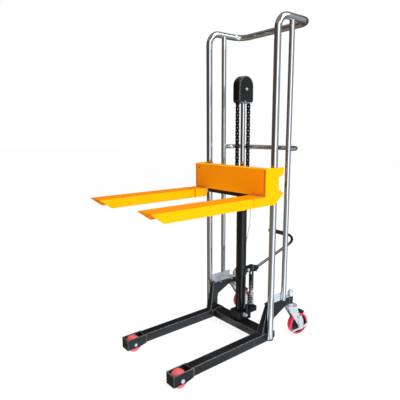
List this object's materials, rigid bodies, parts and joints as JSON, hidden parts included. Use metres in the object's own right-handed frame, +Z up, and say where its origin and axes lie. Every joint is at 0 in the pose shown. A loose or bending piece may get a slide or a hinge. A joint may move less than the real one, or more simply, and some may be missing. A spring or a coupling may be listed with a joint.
{
  "type": "hand pallet stacker",
  "caption": "Manual hydraulic pallet stacker: channel forks on a chain-lifted carriage, tubular mast hoop, foot pump, straddle legs on rollers and braked castors.",
  "frame": {"origin": "on the floor, under the middle of the part's bounding box", "axes": "+X across the forks, +Y from the fork tips back to the operator, +Z up"},
  "size_m": [0.55, 1.296, 1.704],
  "materials": {
    "chrome_tube": "polished chrome",
    "yellow_paint": "gloss powder coat",
    "black_paint": "satin powder coat",
    "black_gloss": "gloss enamel",
    "zinc_plate": "bright zinc plating",
    "bare_steel": "machined steel",
    "chain_steel": "oiled dark steel",
    "pump_iron": "painted casting",
    "red_tread": "moulded polyurethane",
    "red_roller": "moulded polyurethane",
    "wheel_core": "moulded core",
    "grip_rubber": "ribbed rubber",
    "clear_hose": "translucent hose",
    "black_knob": "moulded"
  },
  "bodies": {
    "base": {"leg_left": "black_paint", "leg_right": "black_paint", "cross_beam": "black_paint", "roller_shoes": "black_paint", "load_axles": "zinc_plate", "side_brackets": "black_paint", "foot_angles": "zinc_plate", "frame_bolts": "zinc_plate", "main_hoop": "chrome_tube", "rear_posts": "chrome_tube", "mid_handle": "chrome_tube", "castor_sockets": "black_paint", "castor_stems": "zinc_plate", "cylinder_tube": "black_gloss", "cylinder_gland": "black_gloss", "chain_rear": "chain_steel", "chain_anchor": "black_paint", "pump_block": "pump_iron", "plunger_spring": "bare_steel", "lever_bracket": "black_paint", "pivot_pin": "zinc_plate", "release_valve": "zinc_plate", "drain_hose": "clear_hose", "hose_fittings": "zinc_plate"},
    "ram": {"ram_rod": "chrome_tube", "ram_piston": "bare_steel", "head_yoke": "black_paint", "wheel_axle": "zinc_plate", "head_cover": "black_gloss", "chain_wrap": "chain_steel"},
    "wheel": {"chain_wheel": "bare_steel"},
    "carriage": {"front_plate": "yellow_paint", "carriage_side_left": "yellow_paint", "carriage_side_right": "yellow_paint", "lower_bar": "bare_steel", "fork_left": "yellow_paint", "fork_right": "yellow_paint", "chain_lug": "yellow_paint", "guide_axles": "zinc_plate", "chain_front": "chain_steel"},
    "guides_upper": {"guide_rollers_upper": "bare_steel"},
    "guides_lower": {"guide_rollers_lower": "bare_steel"},
    "guides_front": {"guide_rollers_front": "bare_steel"},
    "roller_left": {"load_roller_left": "red_roller"},
    "roller_right": {"load_roller_right": "red_roller"},
    "castor_left": {"castor_fork_left": "zinc_plate"},
    "castor_right": {"castor_fork_right": "zinc_plate"},
    "castor_wheel_left": {"castor_core_left": "wheel_core", "castor_tyre_left": "red_tread"},
    "castor_wheel_right": {"castor_core_right": "wheel_core", "castor_tyre_right": "red_tread"},
    "brake_left": {"castor_brake_left": "zinc_plate"},
    "brake_right": {"castor_brake_right": "zinc_plate"},
    "pedal": {"pedal_lever": "pump_iron", "pedal_bar": "black_gloss", "pedal_sleeve": "grip_rubber"},
    "link": {"pump_link": "black_paint"},
    "plunger": {"pump_plunger": "bare_steel"},
    "release": {"release_lever": "black_knob"}
  },
  "joints": [
    {"name": "ram_lift", "type": "slide", "parent": "base", "child": "ram", "axis": [0, 0, 1], "range_m": [-0.3725, 0.3335], "deforming": ["chain_rear"]},
    {"name": "carriage_lift", "type": "slide", "parent": "ram", "child": "carriage", "axis": [0, 0, 1], "range_m": [-0.3725, 0.3335], "deforming": ["chain_front"]},
    {"name": "wheel_turn", "type": "hinge", "parent": "ram", "child": "wheel", "pos_m": [0, 0.1124, 1.365], "axis": [1, 0, 0], "range_deg": [-474.65, 529.57]},
    {"name": "guides_upper_turn", "type": "hinge", "parent": "carriage", "child": "guides_upper", "pos_m": [0, 0.1213, 0.941], "axis": [1, 0, 0], "range_deg": [-2672.84, 2393.52]},
    {"name": "guides_lower_turn", "type": "hinge", "parent": "carriage", "child": "guides_lower", "pos_m": [0, 0.1213, 0.836], "axis": [1, 0, 0], "range_deg": [-2672.84, 2393.52]},
    {"name": "guides_front_turn", "type": "hinge", "parent": "carriage", "child": "guides_front", "pos_m": [0, 0.0547, 0.812], "axis": [1, 0, 0], "range_deg": [-2393.52, 2672.84]},
    {"name": "pedal_press", "type": "hinge", "parent": "base", "child": "pedal", "pos_m": [0, 0.158, 0.362], "axis": [1, 0, 0], "range_deg": [-25, 0], "stiffness_Nm_per_rad": 20, "springref_deg": 34.38},
    {"name": "link_swing", "type": "hinge", "parent": "pedal", "child": "link", "pos_m": [0, 0.19705, 0.37066], "axis": [1, 0, 0], "range_deg": [-0.5, 25.5]},
    {"name": "plunger_stroke", "type": "slide", "parent": "base", "child": "plunger", "axis": [0, 0, 1], "range_m": [-0.01761, 0.0003], "deforming": ["plunger_spring"]},
    {"name": "release_pull", "type": "hinge", "parent": "base", "child": "release", "pos_m": [0.057, 0.098, 0.116], "axis": [1, 0, 0], "range_deg": [-18, 0], "stiffness_Nm_per_rad": 1.5, "springref_deg": 34.38},
    {"name": "roller_left_spin", "type": "hinge", "parent": "base", "child": "roller_left", "pos_m": [-0.2051, -0.483, 0.04], "axis": [1, 0, 0], "continuous": true},
    {"name": "castor_left_swivel", "type": "hinge", "parent": "base", "child": "castor_left", "pos_m": [-0.222, 0.283, 0.19], "axis": [0, 0, 1], "continuous": true},
    {"name": "castor_wheel_left_spin", "type": "hinge", "parent": "castor_left", "child": "castor_wheel_left", "pos_m": [-0.20994, 0.33973, 0.0625], "axis": [0.9781, -0.2079, 0], "continuous": true},
    {"name": "brake_left_rock", "type": "hinge", "parent": "castor_left", "child": "brake_left", "pos_m": [-0.20994, 0.33973, 0.0625], "axis": [0.9781, -0.2079, 0], "range_deg": [-20, 0]},
    {"name": "roller_right_spin", "type": "hinge", "parent": "base", "child": "roller_right", "pos_m": [0.2051, -0.483, 0.04], "axis": [1, 0, 0], "continuous": true},
    {"name": "castor_right_swivel", "type": "hinge", "parent": "base", "child": "castor_right", "pos_m": [0.222, 0.283, 0.19], "axis": [0, 0, 1], "continuous": true},
    {"name": "castor_wheel_right_spin", "type": "hinge", "parent": "castor_right", "child": "castor_wheel_right", "pos_m": [0.23406, 0.33973, 0.0625], "axis": [0.9781, -0.2079, 0], "continuous": true},
    {"name": "brake_right_rock", "type": "hinge", "parent": "castor_right", "child": "brake_right", "pos_m": [0.23406, 0.33973, 0.0625], "axis": [0.9781, -0.2079, 0], "range_deg": [-20, 0]}
  ],
  "couplings": [
    {"joint": "carriage_lift", "follows": "ram_lift", "ratio": 1},
    {"joint": "wheel_turn", "follows": "ram_lift", "rad_per_m": -24.578},
    {"joint": "guides_upper_turn", "follows": "ram_lift", "rad_per_m": 125},
    {"joint": "guides_lower_turn", "follows": "ram_lift", "rad_per_m": 125},
    {"joint": "guides_front_turn", "follows": "ram_lift", "rad_per_m": -125},
    {"joint": "link_swing", "follows": "pedal_press", "ratio": -1},
    {"joint": "plunger_stroke", "follows": "pedal_press", "m_per_rad": 0.039683}
  ]
}
